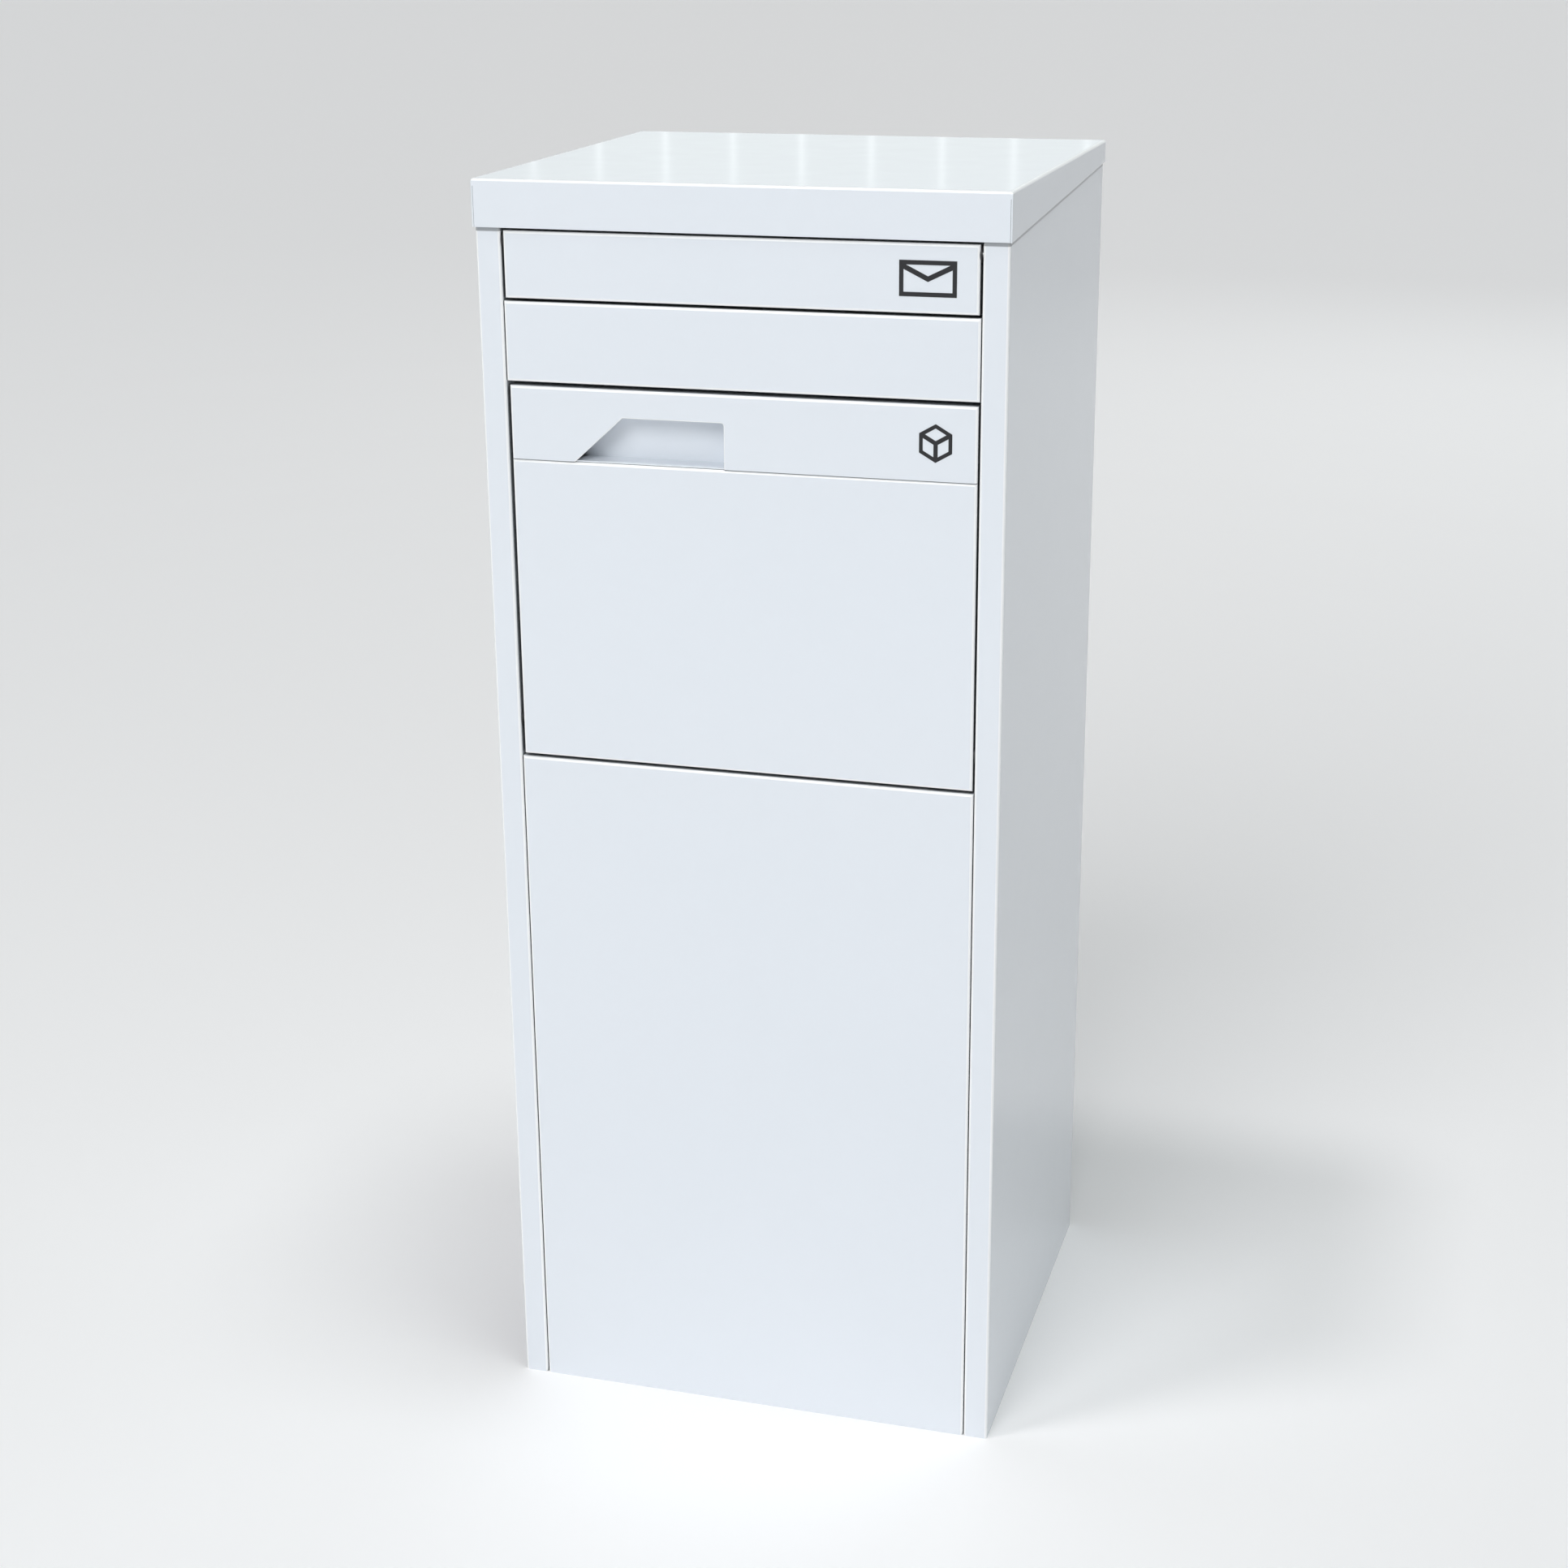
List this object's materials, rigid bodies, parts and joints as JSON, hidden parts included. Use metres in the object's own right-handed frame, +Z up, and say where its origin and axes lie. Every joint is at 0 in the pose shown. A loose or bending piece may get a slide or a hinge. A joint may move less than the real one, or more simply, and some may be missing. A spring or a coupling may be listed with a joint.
{
  "type": "letter and parcel mailbox",
  "caption": "Free-standing folded-steel mailbox with a push-in letter flap, a tilting parcel hopper with a finger cut-out, and a lockable rear door.",
  "frame": {"origin": "on the floor at the middle of the base, which is the middle of the anchor holes", "axes": "+Z up, -Y out of the front with the flap and the parcel door, +X to the right seen from the front"},
  "size_m": [0.4428, 0.4148, 1.095],
  "materials": {
    "white_coat": "semi-gloss white powder coat",
    "zinc_steel": "zinc plated",
    "rubber": "matt",
    "nylon_bush": "black nylon",
    "dark_print": "matt printed film",
    "chrome_lock": "bright chrome"
  },
  "bodies": {
    "casing": {"left_side_panel": "white_coat", "right_side_panel": "white_coat", "wall_nuts": "zinc_steel", "base_plate": "white_coat", "top_cap": "white_coat", "cap_nuts": "zinc_steel", "upper_front_panel": "white_coat", "lower_front_panel": "white_coat", "panel_screws": "zinc_steel", "flap_hinge_rod": "zinc_steel", "rod_clips": "zinc_steel", "flap_stop_bar": "zinc_steel", "flap_stop_pad": "rubber", "hopper_pivot_bushes": "nylon_bush", "hopper_rest_bar": "zinc_steel", "hopper_rest_pad": "rubber", "left_hopper_stop": "zinc_steel", "right_hopper_stop": "zinc_steel", "hopper_stop_pads": "rubber", "letter_chute": "white_coat", "anti_fishing_baffle": "white_coat", "rear_top_rail": "white_coat", "rear_bottom_rail": "white_coat", "rear_hinge_pins": "zinc_steel", "lock_strike": "zinc_steel", "rear_door_stops": "zinc_steel", "rear_stop_pads": "rubber"},
    "letter_flap": {"letter_flap": "white_coat", "flap_bushes": "nylon_bush", "letter_symbol": "dark_print"},
    "parcel_hopper": {"parcel_door_panel": "white_coat", "parcel_grip_strip": "white_coat", "finger_pocket": "white_coat", "left_cheek": "white_coat", "right_cheek": "white_coat", "hopper_floor": "white_coat", "hopper_pivot_pins": "zinc_steel", "hopper_rivets": "zinc_steel", "parcel_symbol": "dark_print"},
    "rear_door": {"rear_door_panel": "white_coat", "rear_door_stiffener": "zinc_steel", "lock_body": "chrome_lock", "lock_nut": "zinc_steel"},
    "lock_cam": {"lock_plug": "chrome_lock", "lock_cam": "zinc_steel", "cam_screw": "zinc_steel"}
  },
  "joints": [
    {"name": "letter_flap_swing", "type": "hinge", "parent": "casing", "child": "letter_flap", "pos_m": [0, -0.199, 1.046], "axis": [1, 0, 0], "range_deg": [0, 70]},
    {"name": "parcel_hopper_tilt", "type": "hinge", "parent": "casing", "child": "parcel_hopper", "pos_m": [0, -0.196, 0.64], "axis": [1, 0, 0], "range_deg": [0, 45]},
    {"name": "rear_door_swing", "type": "hinge", "parent": "casing", "child": "rear_door", "pos_m": [-0.1866, 0.196, 0.5], "axis": [0, 0, 1], "range_deg": [0, 95]},
    {"name": "lock_cam_turn", "type": "hinge", "parent": "rear_door", "child": "lock_cam", "pos_m": [0.176, 0.19, 0.537], "axis": [0, -1, 0], "range_deg": [0, 90]}
  ]
}
